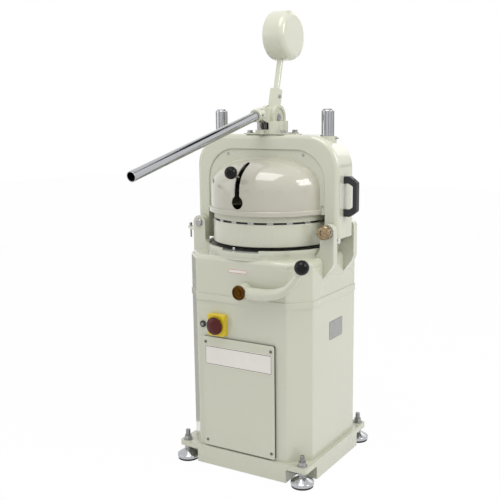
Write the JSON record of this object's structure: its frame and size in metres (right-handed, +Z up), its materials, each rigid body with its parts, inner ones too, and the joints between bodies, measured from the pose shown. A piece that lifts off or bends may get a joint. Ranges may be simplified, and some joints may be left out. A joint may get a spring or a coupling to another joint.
{
  "type": "divider rounder",
  "caption": "Floor-standing manual dough divider rounder with arched swing-up head, bell covers, long press lever with counterweight, cut lever, rounding lever and orbiting table.",
  "frame": {"origin": "on the floor under the press axis", "axes": "+X to the operator's right, +Y to the back, +Z up along the press axis"},
  "size_m": [0.814, 1.2598, 1.9351],
  "materials": {
    "ivory_paint": "gloss",
    "ring_paint": "satin",
    "chrome": "polished",
    "steel": "satin",
    "rubber": "matte",
    "yellow_plastic": "gloss",
    "red_plastic": "gloss",
    "black_plastic": "gloss",
    "grey_plastic": "satin",
    "bronze": "polished",
    "motor_paint": "satin",
    "cast_iron": "matte",
    "aluminium": "satin"
  },
  "bodies": {
    "base": {"plinth": "ivory_paint", "cabinet": "ivory_paint", "upper_housing": "ivory_paint", "foot_pads": "chrome", "foot_rubbers": "rubber", "foot_studs": "steel", "foot_nuts": "steel", "front_panel": "ivory_paint", "panel_screws": "steel", "switch_box": "yellow_plastic", "reset_bezel": "black_plastic", "cable_gland": "black_plastic", "hinge_pin": "steel", "opening_stop": "steel", "motor": "motor_paint", "drive_belt": "rubber", "bearing_bridge": "cast_iron", "shaft_bearings": "steel"},
    "stop_button": {"stop_button": "red_plastic"},
    "reset_button": {"reset_button": "grey_plastic"},
    "lock": {"lock_spindle": "steel", "lock_knob": "bronze"},
    "motor_rotor": {"motor_pulley": "steel"},
    "crank": {"driven_pulley": "steel", "crank_shaft": "steel"},
    "guide_1": {"guide_crank_1": "steel"},
    "guide_2": {"guide_crank_2": "steel"},
    "guide_3": {"guide_crank_3": "steel"},
    "table": {"rounding_table": "aluminium", "plate_pins": "chrome"},
    "rounding_lever": {"lever_shaft": "steel", "rounding_lever": "ivory_paint", "lever_cap": "bronze", "lever_ball": "black_plastic"},
    "head": {"head_casting": "ivory_paint", "front_cover": "ivory_paint", "rear_cover": "ivory_paint", "cover_screws": "steel", "side_handle": "black_plastic", "handle_screws": "steel", "lever_post": "ivory_paint", "post_bolts": "steel", "pivot_pin": "steel", "rest_screw": "steel", "column_bushes": "bronze", "grease_nipples": "steel"},
    "press_lever": {"lever_yoke": "ivory_paint", "lever_tube": "chrome", "yoke_screws": "steel", "weight_stalk": "ivory_paint", "counterweight": "ivory_paint"},
    "carriage": {"guide_columns": "chrome", "crosshead": "cast_iron", "lift_rack": "steel", "press_plate": "aluminium", "outer_ring": "ring_paint", "ring_spacers": "steel"},
    "knives": {"knife_grid": "steel"},
    "cut_lever": {"cut_lever": "steel", "cut_knob": "black_plastic"}
  },
  "joints": [
    {"name": "head_hinge", "type": "hinge", "parent": "base", "child": "head", "pos_m": [-0.314, 0, 1.038], "axis": [0, -1, 0], "range_deg": [0, 77]},
    {"name": "carriage_slide", "type": "slide", "parent": "head", "child": "carriage", "axis": [0, 0, 1], "range_m": [0, 0.06451]},
    {"name": "press_lever_swing", "type": "hinge", "parent": "head", "child": "press_lever", "pos_m": [0, 0, 1.492], "axis": [-1, 0, 0], "range_deg": [0, 88]},
    {"name": "knife_slide", "type": "slide", "parent": "carriage", "child": "knives", "axis": [0, 0, -1], "range_m": [0, 0.036]},
    {"name": "cut_lever_swing", "type": "hinge", "parent": "carriage", "child": "cut_lever", "pos_m": [-0.015, -0.095, 1.188], "axis": [1, 0, 0], "range_deg": [0, 28]},
    {"name": "lock_turn", "type": "hinge", "parent": "base", "child": "lock", "pos_m": [0.314, 0, 1.038], "axis": [0, -1, 0], "range_deg": [0, 180]},
    {"name": "crank_spin", "type": "hinge", "parent": "base", "child": "crank", "pos_m": [0, 0, 0.9], "axis": [0, 0, 1], "continuous": true},
    {"name": "table_orbit", "type": "hinge", "parent": "crank", "child": "table", "pos_m": [-0.008, 0, 0.94], "axis": [0, 0, 1], "continuous": true},
    {"name": "guide_1_spin", "type": "hinge", "parent": "base", "child": "guide_1", "pos_m": [0, 0.175, 0.93], "axis": [0, 0, 1], "continuous": true},
    {"name": "guide_2_spin", "type": "hinge", "parent": "base", "child": "guide_2", "pos_m": [-0.15155, -0.0875, 0.93], "axis": [0, 0, 1], "continuous": true},
    {"name": "guide_3_spin", "type": "hinge", "parent": "base", "child": "guide_3", "pos_m": [0.15155, -0.0875, 0.93], "axis": [0, 0, 1], "continuous": true},
    {"name": "motor_spin", "type": "hinge", "parent": "base", "child": "motor_rotor", "pos_m": [-0.124, 0.124, 0.76], "axis": [0, 0, 1], "continuous": true},
    {"name": "rounding_lever_swing", "type": "hinge", "parent": "base", "child": "rounding_lever", "pos_m": [0.03, -0.3, 0.8], "axis": [0, -1, 0], "range_deg": [0, 55]},
    {"name": "stop_press", "type": "slide", "parent": "base", "child": "stop_button", "axis": [0, 1, 0], "range_m": [0, 0.005], "stiffness_N_per_m": 1500},
    {"name": "reset_press", "type": "slide", "parent": "base", "child": "reset_button", "axis": [0, 1, 0], "range_m": [0, 0.003], "stiffness_N_per_m": 800}
  ],
  "couplings": [
    {"joint": "press_lever_swing", "follows": "carriage_slide", "rad_per_m": 23.81},
    {"joint": "cut_lever_swing", "follows": "knife_slide", "rad_per_m": 13.575},
    {"joint": "table_orbit", "follows": "crank_spin", "ratio": -1},
    {"joint": "guide_1_spin", "follows": "crank_spin", "ratio": 1},
    {"joint": "guide_2_spin", "follows": "crank_spin", "ratio": 1},
    {"joint": "guide_3_spin", "follows": "crank_spin", "ratio": 1},
    {"joint": "motor_spin", "follows": "crank_spin", "ratio": 2.7675}
  ]
}
